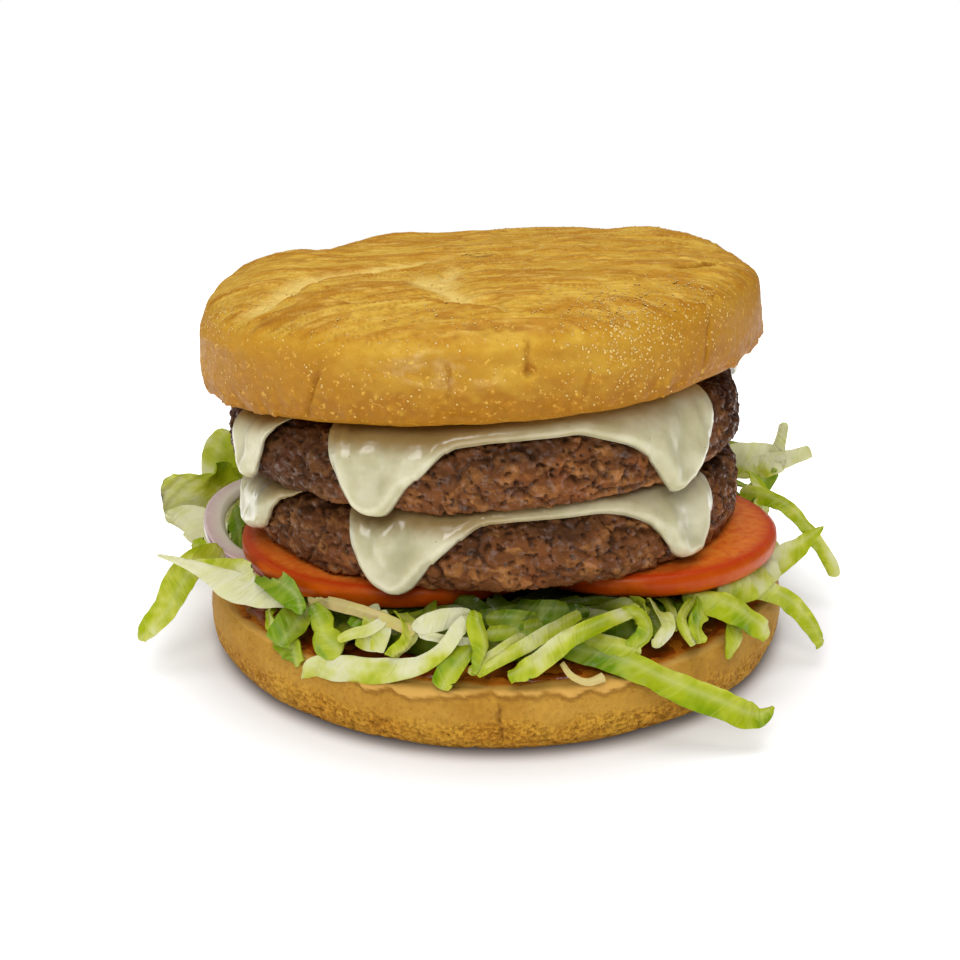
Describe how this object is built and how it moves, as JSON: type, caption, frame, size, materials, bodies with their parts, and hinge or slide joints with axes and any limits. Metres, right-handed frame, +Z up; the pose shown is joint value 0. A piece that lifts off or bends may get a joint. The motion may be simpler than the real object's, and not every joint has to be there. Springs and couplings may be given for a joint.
{
  "type": "double cheeseburger",
  "caption": "Stacked cheeseburger with two beef patties, melted pale cheese running over their edges, tomato, red onion and shredded lettuce between the halves of a golden bun.",
  "frame": {"origin": "middle of the heel's flat underside, at the height of the surface it stands on", "axes": "+Z up, -Y towards the front shown in the picture, +X to the right seen from the front"},
  "size_m": [0.1534, 0.137, 0.0821],
  "materials": {
    "heel_crust": "matte baked crust, pale cut face",
    "crown_crust": "matte to satin baked crust",
    "lettuce": "moist satin leaf",
    "onion": "moist, slightly see-through",
    "tomato": "moist satin skin and flesh",
    "beef": "rough browned mince with glints of fat",
    "cheese": "glossy melted",
    "sauce": "wet and thin, over the heel's cut face"
  },
  "bodies": {
    "root": {"heel": "heel_crust", "lettuce": "lettuce", "onion_ring": "onion", "tomato_left": "tomato", "tomato_right": "tomato", "lower_patty": "beef", "lower_cheese": "cheese", "upper_patty": "beef", "upper_cheese": "cheese", "crown": "crown_crust"}
  },
  "joints": []
}
